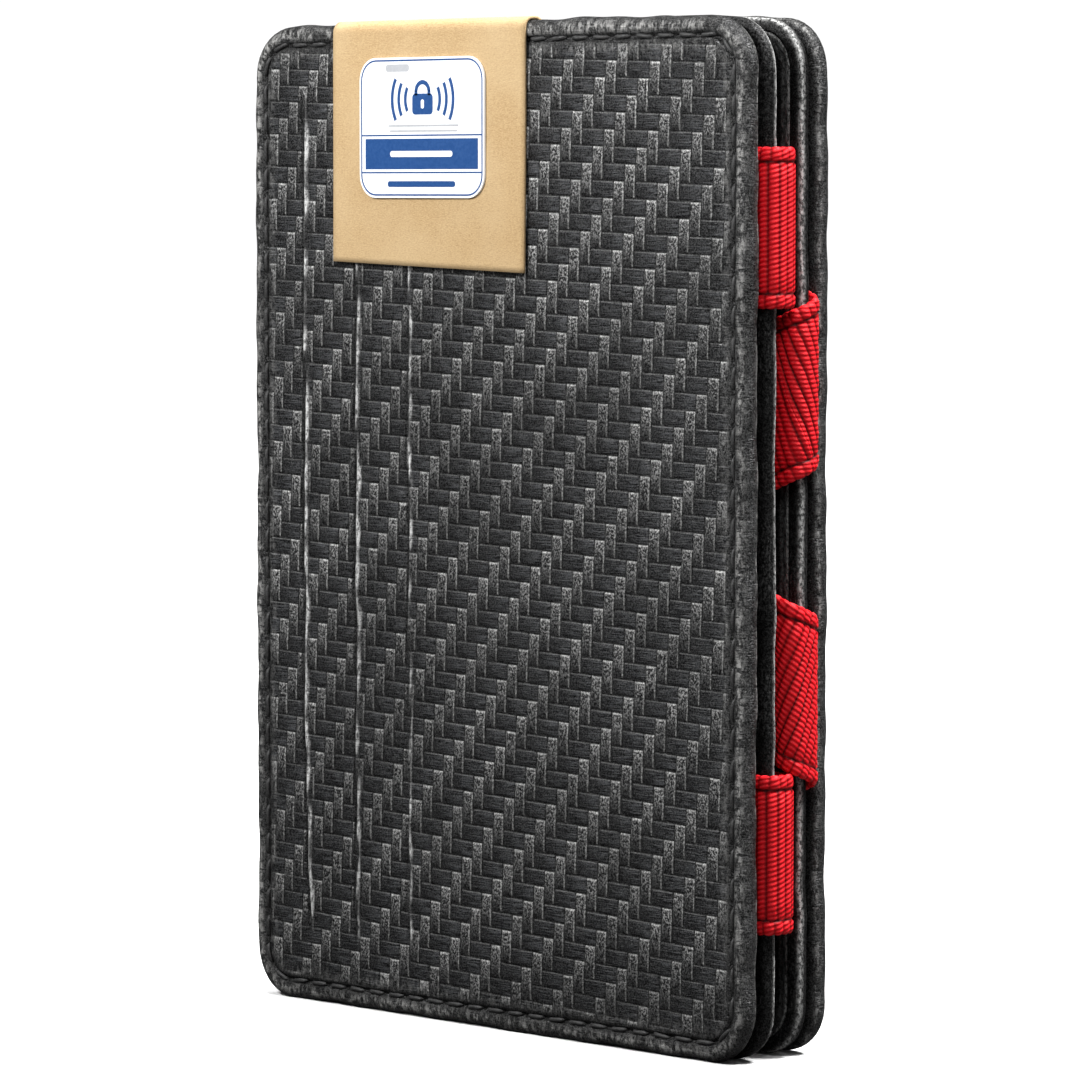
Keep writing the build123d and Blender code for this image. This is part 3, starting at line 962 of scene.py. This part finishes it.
def band_piece(name, node, path, start, end, tilt, centre_z, thickness, step):
    """A ribbed strip along path from start to end; tilt(s) and centre_z(s) give its slant and height."""
    lines = band_cross_lines(BAND_HALF)
    stations = np.linspace(start, end, max(2, round((end - start) / step)) + 1)
    s, w = np.meshgrid(stations, lines, indexing="ij")
    slant = tilt(s)
    along = s / np.cos(slant)
    x, y, nx, ny = path.at(s - w * np.sin(slant))
    from_edge = BAND_HALF - np.abs(w)
    rib = np.sqrt(np.clip(1 - (2 * np.mod(along / RIB_PITCH, 1) - 1) ** 2, 0.0, 1))
    bead = np.abs(np.sin(math.pi * (along / RIB_PITCH + 0.25 * np.sign(w)))) ** 0.7
    in_selvage = 1 - smooth_step(SELVAGE - 0.25, SELVAGE, from_edge)
    seam = bump_curve(from_edge, SELVAGE, 0.14)
    share = np.clip(from_edge / 0.55, 0.02, 1)
    rounding = np.sqrt(share * (2 - share))
    crest = (1 - in_selvage) * rib + in_selvage * (0.35 + 0.75 * bead)
    crest = crest * (1 - 0.8 * seam)
    swell = thickness(s) / 0.7 * (BAND_BASE * rounding + RIB_HEIGHT * crest * np.clip(rounding, 0.3, 1))
    waist = in_selvage * np.sign(w) * (bead - 0.6) * 0.10 * (1 - smooth_step(0.0, 0.5, from_edge))
    z = centre_z(s) + w * np.cos(slant) + waist
    sides = [np.stack([x + nx * off, y + ny * off, z], axis=-1).reshape(-1, 3) for off in (swell, -swell)]
    # A strip's first side is its outer one, so its faces turn the other way from a leaf's
    faces = [[face[0], *face[:0:-1]] for face in sheet_faces(len(lines), len(stations), len(sides[0]))]
    values = {"band_along": along, "band_across": w, "band_crown": np.clip(crest, 0, 1)}
    attributes = {key: np.tile(value.ravel(), 2) for key, value in values.items()}
    piece = make_mesh(name, np.concatenate(sides), faces, attributes)
    dress(piece, "red_elastic", node)
    return piece


def band(name, slope, on_back_board):
    """One whole elastic band in three pieces: the sewn tail, the free span and the wrapped end."""
    nodes = [f"{name}_band{part}" for part in ("_tail", "", "_wrap")]
    (tail_low, tail_high), (span_low, span_high), (wrap_low, wrap_high) = (size_of(node) for node in nodes)
    half_thickness = (span_high[1] - span_low[1]) / 2
    depth = (span_low[1] + span_high[1]) / 2
    tail_depth = tail_high[1] - TAIL_THICKNESS / 2 if on_back_board else tail_low[1] + TAIL_THICKNESS / 2
    wrap_depth = wrap_low[1] + half_thickness if on_back_board else wrap_high[1] - half_thickness
    fold = abs(depth - tail_depth) / 2
    fold_x = tail_low[0] + TAIL_THICKNESS / 2
    outer_x = wrap_high[0] - half_thickness
    corners = [
        (tail_high[0] - 0.3, tail_depth),
        (fold_x, tail_depth),
        (fold_x, depth),
        (outer_x, depth),
        (outer_x, wrap_depth),
        (wrap_low[0] + 0.2, wrap_depth),
    ]
    path = PlanPath(corners, [fold * FOLD_FIT, fold * FOLD_FIT, WRAP_BEND, WRAP_BEND])
    straight = np.nonzero(np.abs(path.points[:, 1] - depth) < 1e-3)[0][[0, -1]]
    span_start, span_end = path.distance[straight]
    middle = (span_start + span_end) / 2 - path.points[straight, 0].sum() / 2
    table = np.linspace(-20, path.length + 20, 1200)

    def easing(s):
        return smooth_step(span_start - 2.0, span_start + 4.0, s)

    rise = np.diff(table) * slope * (easing(table[1:]) + easing(table[:-1])) / 2
    heights = np.concatenate([[0], np.cumsum(rise)])
    heights += (span_low[2] + span_high[2]) / 2 - np.interp(middle, table, heights)

    def tilt(s):
        return math.atan(slope) * easing(s)

    def centre_z(s):
        return np.interp(s, table, heights)

    def thickness(s):
        swell = smooth_step(span_start - 1.5, span_start + 1.0, s)
        return TAIL_THICKNESS + (SPAN_THICKNESS - TAIL_THICKNESS) * swell

    cuts = [0.0, span_start + 1.0, span_end, path.length]
    steps = [RIB_PITCH / 6, RIB_PITCH / 6, RIB_PITCH / 12]
    pieces = [
        band_piece(f"{name}_{part}", node, path, a, b, tilt, centre_z, thickness, step)
        for part, node, a, b, step in zip(("sewn_end", "span", "wrapped_end"), nodes, cuts, cuts[1:], steps)
    ]
    return *pieces, depth


def bend(piece, start, end):
    """A band's end keeps the shape it was built with; its place is baked into its mesh. start and end, depths
    in millimetres, are not used.
    """
    start * MM
    end * MM
    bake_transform(piece)


straight_low, straight_high = size_of("upper_straight_band")
BAND_HALF = (straight_high[2] - straight_low[2]) / 2
CROSS_SLOPE = CROSS_RISE / CROSS_RUN

for name in ("lower_straight", "upper_straight"):
    tail, span, wrap, _ = band(name, 0.0, True)
    bend(tail, 0.9, 0.1)
    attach(span, "straight_bands")
    bend(wrap, 0.1, -1.6)

for name, sign in (("rising_cross", 1), ("falling_cross", -1)):
    tail, span, wrap, depth = band(name, sign * CROSS_SLOPE, False)
    bend(tail, -1.0, depth - 0.2)
    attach(span, "cross_bands")
    bend(wrap, depth + 0.1, 1.8)


# ---------------------------------------------------------------- paper tag and its label


def card_tag():
    """A strip of kraft card folded over the cover's top edge, cut slightly out of square at the front."""
    low, high = size_of("kraft_tag")
    half = TAG_THICKNESS / 2
    front, back, top = low[1] + half, high[1] - half, high[2] - half
    cover_top = size_of("front_cover_leather")[1][2]
    back_end = cover_top - TAG_BACK_DROP
    path = PlanPath([(front, low[2]), (front, top), (back, top), (back, back_end)], [TAG_BEND, TAG_BEND])
    stations = stretches((0, path.length * 0.45, path.length * 0.62, path.length), (36, 40, 26))
    across = np.linspace(0, 1, 40)
    share, s = np.meshgrid(across, stations)
    front_length = top - low[2]
    short = TAG_SKEW * (1 - share) * np.clip(1 - s / front_length, 0, 1)
    y, z, ny, nz = path.at(s + short)
    x = low[0] + share * (high[0] - low[0])
    loose = smooth_step(front_length * 0.6, 0.0, s)
    lift = 0.10 * loose * (0.4 + 0.6 * share) + 0.03 * waves(x, z, 31, 17.0)
    lift = np.where(s < front_length, lift, 0.0) - TAG_PRESS
    sides = [np.stack([x, y + ny * off - lift, z + nz * off], axis=-1).reshape(-1, 3)
             for off in (half, -half)]
    faces = sheet_faces(len(across), len(stations), len(sides[0]))
    piece = make_mesh("kraft_tag_card", np.concatenate(sides), faces)
    dress(piece, "kraft_card", "kraft_tag")
    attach(piece, "paper_tag")


def rounded_outline(width, height, radius, steps=8, at=(0, 0)):
    """Points of a rounded rectangle about a place, anticlockwise."""
    points = []
    for k in range(4):
        cx = (width / 2 - radius) * (1 if k in (0, 3) else -1)
        cz = (height / 2 - radius) * (1 if k in (0, 1) else -1)
        turns = [QUARTER * (k + step / steps) for step in range(steps + 1)]
        points += [(cx + radius * math.cos(t) + at[0], cz + radius * math.sin(t) + at[1]) for t in turns]
    return points


def arc_band(radius, width, start, end, at, steps=20):
    """Outline of a stretch of ring between two angles in degrees."""
    turns = np.radians(np.linspace(start, end, steps + 1))
    ways = ((radius + width / 2, turns), (radius - width / 2, turns[::-1]))
    return [(r * math.cos(t) + at[0], r * math.sin(t) + at[1]) for r, angles in ways for t in angles]


def bar(width, height, dx, dz):
    """A rounded bar, the stand-in for a line of print."""
    return rounded_outline(width, height, 0.45 * height, 4, (dx, dz))


def printed(name, outlines, base, thickness, material, hole=None):
    """Thin flat shapes on the label, whose far side is at base. With hole, the outline becomes a ring."""
    points, faces = [], []
    for outline in outlines:
        count = len(outline)
        loops = []
        for loop in (outline, hole) if hole else (outline,):
            for depth in (base[1] - thickness, base[1]):
                loops.append(len(points))
                points += [(base[0] + px, depth, base[2] + pz) for px, pz in loop]
        near, far = loops[:2]
        for k in range(count):
            after = (k + 1) % count
            faces.append([near + k, far + k, far + after, near + after])
            if hole:
                inner, inner_far = loops[2:]
                faces.append([near + k, near + after, inner + after, inner + k])
                faces.append([inner + k, inner + after, inner_far + after, inner_far + k])
                faces.append([far + after, far + k, inner_far + k, inner_far + after])
        if not hole:
            faces.append([near + k for k in range(count)])
            faces.append([far + k for k in reversed(range(count))])
    piece = make_mesh(name, points, faces, smooth=False)
    paint(piece, material)
    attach(piece, "paper_tag")
    return piece


def label():
    """A white rounded label with a blue rim, a padlock between radio waves and plain bars for print."""
    low, high = size_of("tag_label")
    middle = (low + high) / 2
    width, height = high[0] - low[0], high[2] - low[2]
    surface = low[1] - LABEL_LIFT
    paper = printed("label_paper", [rounded_outline(width, height, LABEL_RADIUS)],
                    (middle[0], high[1], middle[2]), high[1] - surface, MATERIALS["label"])
    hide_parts("tag_label")

    rim_width, rim_height = width - 2 * LABEL_INSET, height - 2 * LABEL_INSET
    band_width = rim_width - 2 * RIM_WIDTH
    outside = rounded_outline(rim_width, rim_height, LABEL_RADIUS - 0.2)
    inside = rounded_outline(band_width, rim_height - 2 * RIM_WIDTH, LABEL_RADIUS - 0.2 - RIM_WIDTH)
    left, top = -width / 2, height / 2
    band_z = top - BAND_DROP
    lock_z = top - 4.9
    waves_at = (PADLOCK_X, top - 4.4)
    posts = [rounded_outline(0.46, 0.5, 0.05, 2, (PADLOCK_X + d, top - 3.75)) for d in (-0.98, 0.98)]
    arcs = [arc_band(radius, 0.42, start, start + 56, waves_at)
            for radius in (2.6, 3.6, 4.6) for start in (-28, 152)]
    prints = (
        ("rim", [outside], BLUE_INK, 1, inside),
        ("band", [rounded_outline(band_width - 1.0, 3.2, 0.05, 2, (0, band_z))], BLUE_INK, 1, None),
        ("rules", [rounded_outline(band_width, 0.16, 0.04, 2, (0, band_z + d)) for d in (1.95, -1.95)],
         BLUE_INK, 1, None),
        ("band_print", [bar(9.4, 0.62, 0, band_z)], MATERIALS["label"], 2, None),
        ("small_print", [bar(3.6, 0.8, left + 5.8, top - 1.1), bar(10.6, 0.22, 0.3, top - 7.15),
                         bar(10.2, 0.22, 0.3, top - 7.7)], GREY_INK, 1, None),
        ("number_print", [bar(10.2, 0.62, 0, top - 13.25)], BLUE_INK, 1, None),
        ("padlock", [rounded_outline(3.1, 2.2, 0.45, at=(PADLOCK_X, lock_z)),
                     arc_band(0.98, 0.46, 0, 180, (PADLOCK_X, top - 3.6)), *posts], BLUE_INK, 1, None),
        ("waves", arcs, BLUE_INK, 1, None),
        ("keyhole", [rounded_outline(0.46, 0.95, 0.22, at=(PADLOCK_X, lock_z))], MATERIALS["label"], 2, None),
    )
    # The second layer of ink lies on the first
    for name, outlines, material, layer, hole in prints:
        base = (middle[0], surface - (layer - 1) * INK, middle[2])
        printed(f"label_{name}", outlines, base, INK, material, hole)


card_tag()
label()
for side, outward in (("front", -1), ("back", 1)):
    gutter_hinge(side, outward)


# ---------------------------------------------------------------- floor, light and camera


def add_light(name, place, target, power, size):
    """A rectangular soft box at place, facing target."""
    lamp = bpy.data.lights.new(name, "AREA")
    lamp.energy = power
    lamp.shape = "RECTANGLE"
    lamp.size, lamp.size_y = size
    light = bpy.data.objects.new(name, lamp)
    light.location = place
    light.rotation_euler = (Vector(place) - Vector(target)).to_track_quat("Z", "Y").to_euler()
    light.visible_camera = False
    bpy.context.scene.collection.objects.link(light)


def studio():
    """A wide pale floor and an even room, overhead light from behind, and soft boxes in front and above."""
    low, high = cad_box
    mesh = bpy.data.meshes.new("floor")
    corners = [(-1, -1), (1, -1), (1, 1), (-1, 1)]
    mesh.from_pydata([(x * FLOOR_REACH, y * FLOOR_REACH, low.z) for x, y in corners], [], [[0, 1, 2, 3]])
    floor = bpy.data.objects.new("floor", mesh)
    bpy.context.scene.collection.objects.link(floor)
    paint(floor, pale_floor())

    world = bpy.data.worlds.new("studio")
    world.use_nodes = True
    tree = world.node_tree
    dim = tree.nodes["Background"]
    bright = tree.nodes.new("ShaderNodeBackground")
    for background, strength in ((dim, ROOM_LIGHT), (bright, ROOM_WHITE)):
        background.inputs["Color"].default_value = (1, 1, 1, 1)
        background.inputs["Strength"].default_value = strength
    mix_by_camera_ray(tree, dim, bright, tree.nodes["World Output"])
    bpy.context.scene.world = world

    sun = bpy.data.lights.new("overhead", "SUN")
    sun.energy = OVERHEAD_LIGHT
    sun.angle = math.radians(OVERHEAD_SPREAD)
    lamp = bpy.data.objects.new("overhead", sun)
    lamp.rotation_euler = (math.radians(OVERHEAD_TILT), 0, 0)
    bpy.context.scene.collection.objects.link(lamp)
    for name, place, target, power, size in SOFT_BOXES:
        add_light(name, place, target or (low + high) / 2, power, (size, size))


def camera():
    """Turned right of the front cover and a little above it, through a long lens."""
    azimuth, elevation = math.radians(CAMERA_TURN), math.radians(CAMERA_RISE)
    back = Vector((math.sin(azimuth) * math.cos(elevation), -math.cos(azimuth) * math.cos(elevation),
                   math.sin(elevation)))
    data = bpy.data.cameras.new("camera")
    data.sensor_width = SENSOR_WIDTH
    data.lens = CAMERA_LENS
    data.clip_start, data.clip_end = 0.01, 100.0
    viewer = bpy.data.objects.new("camera", data)
    viewer.location = (Vector(CAMERA_AIM) + back * CAMERA_DISTANCE) * MM
    viewer.rotation_euler = back.to_track_quat("Z", "Y").to_euler()
    bpy.context.scene.collection.objects.link(viewer)
    bpy.context.scene.camera = viewer
    bpy.context.scene.view_settings.view_transform = "Standard"


studio()
camera()
